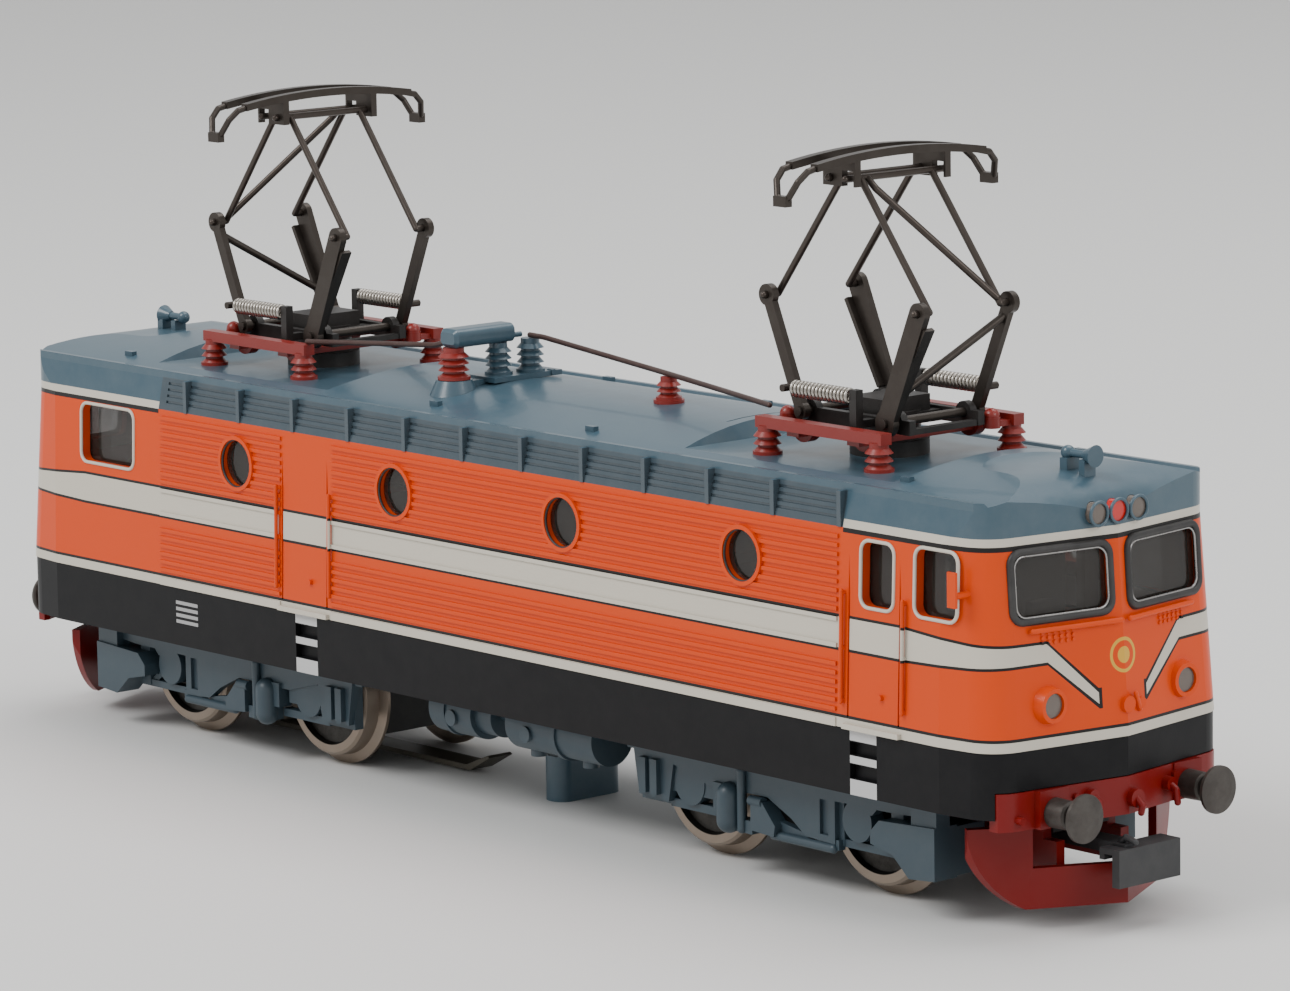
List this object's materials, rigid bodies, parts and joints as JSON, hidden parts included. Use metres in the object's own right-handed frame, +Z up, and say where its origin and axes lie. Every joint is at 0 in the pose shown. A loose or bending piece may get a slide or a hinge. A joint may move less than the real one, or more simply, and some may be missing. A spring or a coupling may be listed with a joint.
{
  "type": "model electric locomotive",
  "caption": "Gauge model of a twin-cab electric locomotive with ribbed sides, swivelling bogies, turning wheels and folding roof pantographs.",
  "frame": {"origin": "middle of the locomotive at the lowest point of the wheel flanges", "axes": "+X along the locomotive towards cab 1, +Z up, +Y to the left of cab 1"},
  "size_m": [0.1784, 0.0366, 0.0768],
  "materials": {
    "body_orange": "semi-gloss moulded plastic, painted stripes",
    "roof_grey": "semi-gloss moulded plastic",
    "skirt_black": "satin",
    "beam_red": "semi-gloss",
    "buffer_steel": "chemically blackened, worn",
    "lens_clear": "clear",
    "lens_red": "red tinted",
    "glazing": "clear",
    "interior_grey": "matte",
    "ballast_metal": "rough cast",
    "insulator_red": "semi-gloss",
    "conductor": "satin",
    "bogie_grey": "satin",
    "block_black": "matte",
    "wheel_steel": "worn treads",
    "coupler_black": "satin",
    "shoe_brass": "worn",
    "pantograph_black": "satin",
    "pantograph_metal": "dark gunmetal",
    "pantograph_wire": "dark gunmetal",
    "spring_steel": "bright"
  },
  "bodies": {
    "chassis": {"body_shell": "body_orange", "roof": "roof_grey", "skirt_frame": "skirt_black", "buffer_beam_front": "beam_red", "buffer_beam_rear": "beam_red", "buffer_front_left": "buffer_steel", "buffer_front_right": "buffer_steel", "buffer_rear_left": "buffer_steel", "buffer_rear_right": "buffer_steel", "light_guide_front": "lens_clear", "red_lamp_lens_front": "lens_red", "cab_glazing_front": "glazing", "cab_interior_front": "interior_grey", "horn_front": "roof_grey", "light_guide_rear": "lens_clear", "red_lamp_lens_rear": "lens_red", "cab_glazing_rear": "glazing", "cab_interior_rear": "interior_grey", "horn_rear": "roof_grey", "side_glazing_right": "glazing", "side_glazing_left": "glazing", "ballast_block": "ballast_metal", "breaker_base_plate": "roof_grey", "breaker_post_red": "insulator_red", "breaker_box": "roof_grey", "conductor_post_red": "insulator_red", "conductor_front": "conductor", "conductor_rear": "conductor", "air_tanks": "bogie_grey", "pantograph_front_pivot_base": "pantograph_black", "pantograph_front_insulated_frame": "insulator_red", "pantograph_front_spring_a": "spring_steel", "pantograph_front_spring_b": "spring_steel", "pantograph_rear_pivot_base": "pantograph_black", "pantograph_rear_insulated_frame": "insulator_red", "pantograph_rear_spring_a": "spring_steel", "pantograph_rear_spring_b": "spring_steel"},
    "bogie_front": {"bogie_block_front": "block_black", "bogie_side_frames_front": "bogie_grey", "snow_plow_front": "beam_red"},
    "axle_outer_front": {"wheelset_outer_front": "wheel_steel"},
    "axle_inner_front": {"wheelset_inner_front": "wheel_steel"},
    "coupling_front": {"coupler_front": "coupler_black"},
    "bogie_rear": {"bogie_block_rear": "block_black", "bogie_side_frames_rear": "bogie_grey", "snow_plow_rear": "beam_red"},
    "axle_outer_rear": {"wheelset_outer_rear": "wheel_steel"},
    "axle_inner_rear": {"wheelset_inner_rear": "wheel_steel"},
    "coupling_rear": {"coupler_rear": "coupler_black"},
    "pickup": {"collector_shoe": "shoe_brass"},
    "pan_front_lower_a": {"pantograph_front_lower_frame_a": "pantograph_metal"},
    "pan_front_lower_b": {"pantograph_front_lower_frame_b": "pantograph_metal"},
    "pan_front_upper_a": {"pantograph_front_upper_frame_a": "pantograph_wire"},
    "pan_front_upper_b": {"pantograph_front_upper_frame_b": "pantograph_wire"},
    "pan_front_head": {"pantograph_front_contact_head": "pantograph_metal"},
    "pan_rear_lower_a": {"pantograph_rear_lower_frame_a": "pantograph_metal"},
    "pan_rear_lower_b": {"pantograph_rear_lower_frame_b": "pantograph_metal"},
    "pan_rear_upper_a": {"pantograph_rear_upper_frame_a": "pantograph_wire"},
    "pan_rear_upper_b": {"pantograph_rear_upper_frame_b": "pantograph_wire"},
    "pan_rear_head": {"pantograph_rear_contact_head": "pantograph_metal"}
  },
  "joints": [
    {"name": "bogie_front_swivel", "type": "hinge", "parent": "chassis", "child": "bogie_front", "pos_m": [0.04625, 0, 0.0175], "axis": [0, 0, 1], "range_deg": [-6, 6]},
    {"name": "axle_outer_front_spin", "type": "hinge", "parent": "bogie_front", "child": "axle_outer_front", "pos_m": [0.0594, 0, 0.00843], "axis": [0, 1, 0], "continuous": true},
    {"name": "axle_inner_front_spin", "type": "hinge", "parent": "bogie_front", "child": "axle_inner_front", "pos_m": [0.0331, 0, 0.00843], "axis": [0, 1, 0], "continuous": true},
    {"name": "coupling_front_swing", "type": "hinge", "parent": "bogie_front", "child": "coupling_front", "pos_m": [0.0732, 0, 0.0078], "axis": [0, 0, 1], "range_deg": [-12, 12]},
    {"name": "bogie_rear_swivel", "type": "hinge", "parent": "chassis", "child": "bogie_rear", "pos_m": [-0.04625, 0, 0.0175], "axis": [0, 0, 1], "range_deg": [-6, 6]},
    {"name": "axle_outer_rear_spin", "type": "hinge", "parent": "bogie_rear", "child": "axle_outer_rear", "pos_m": [-0.0594, 0, 0.00843], "axis": [0, 1, 0], "continuous": true},
    {"name": "axle_inner_rear_spin", "type": "hinge", "parent": "bogie_rear", "child": "axle_inner_rear", "pos_m": [-0.0331, 0, 0.00843], "axis": [0, 1, 0], "continuous": true},
    {"name": "coupling_rear_swing", "type": "hinge", "parent": "bogie_rear", "child": "coupling_rear", "pos_m": [-0.0732, 0, 0.0078], "axis": [0, 0, 1], "range_deg": [-12, 12]},
    {"name": "pickup_lift", "type": "slide", "parent": "bogie_rear", "child": "pickup", "axis": [0, 0, 1], "range_m": [0, 0.001], "stiffness_N_per_m": 30, "springref_m": -0.003},
    {"name": "pan_front_fold", "type": "hinge", "parent": "chassis", "child": "pan_front_lower_a", "pos_m": [0.04435, 0, 0.0489], "axis": [0, -1, 0], "range_deg": [0, 30], "stiffness_Nm_per_rad": 0.0008, "springref_deg": -57.3},
    {"name": "pan_front_lower_b_fold", "type": "hinge", "parent": "chassis", "child": "pan_front_lower_b", "pos_m": [0.05725, 0, 0.0489], "axis": [0, 1, 0], "range_deg": [0, 30]},
    {"name": "pan_front_knuckle_a", "type": "hinge", "parent": "pan_front_lower_a", "child": "pan_front_upper_a", "pos_m": [0.03935, 0, 0.0607], "axis": [0, 1, 0], "range_deg": [0, 60]},
    {"name": "pan_front_knuckle_b", "type": "hinge", "parent": "pan_front_lower_b", "child": "pan_front_upper_b", "pos_m": [0.06225, 0, 0.0607], "axis": [0, -1, 0], "range_deg": [0, 60]},
    {"name": "pan_front_head_level", "type": "hinge", "parent": "pan_front_upper_a", "child": "pan_front_head", "pos_m": [0.0495, 0, 0.0738], "axis": [0, -1, 0], "range_deg": [0, 30]},
    {"name": "pan_rear_fold", "type": "hinge", "parent": "chassis", "child": "pan_rear_lower_a", "pos_m": [-0.03895, 0, 0.0489], "axis": [0, 1, 0], "range_deg": [0, 30], "stiffness_Nm_per_rad": 0.0008, "springref_deg": -57.3},
    {"name": "pan_rear_lower_b_fold", "type": "hinge", "parent": "chassis", "child": "pan_rear_lower_b", "pos_m": [-0.05185, 0, 0.0489], "axis": [0, -1, 0], "range_deg": [0, 30]},
    {"name": "pan_rear_knuckle_a", "type": "hinge", "parent": "pan_rear_lower_a", "child": "pan_rear_upper_a", "pos_m": [-0.03395, 0, 0.0607], "axis": [0, -1, 0], "range_deg": [0, 60]},
    {"name": "pan_rear_knuckle_b", "type": "hinge", "parent": "pan_rear_lower_b", "child": "pan_rear_upper_b", "pos_m": [-0.05685, 0, 0.0607], "axis": [0, 1, 0], "range_deg": [0, 60]},
    {"name": "pan_rear_head_level", "type": "hinge", "parent": "pan_rear_upper_a", "child": "pan_rear_head", "pos_m": [-0.0441, 0, 0.0738], "axis": [0, 1, 0], "range_deg": [0, 30]}
  ],
  "couplings": [
    {"joint": "axle_inner_front_spin", "follows": "axle_outer_front_spin", "ratio": 1},
    {"joint": "pan_front_lower_b_fold", "follows": "pan_front_fold", "ratio": 1},
    {"joint": "pan_front_knuckle_a", "follows": "pan_front_fold", "ratio": 1.99},
    {"joint": "pan_front_knuckle_b", "follows": "pan_front_fold", "ratio": 1.99},
    {"joint": "pan_front_head_level", "follows": "pan_front_fold", "ratio": 0.99},
    {"joint": "pan_rear_lower_b_fold", "follows": "pan_rear_fold", "ratio": 1},
    {"joint": "pan_rear_knuckle_a", "follows": "pan_rear_fold", "ratio": 1.99},
    {"joint": "pan_rear_knuckle_b", "follows": "pan_rear_fold", "ratio": 1.99},
    {"joint": "pan_rear_head_level", "follows": "pan_rear_fold", "ratio": 0.99}
  ]
}
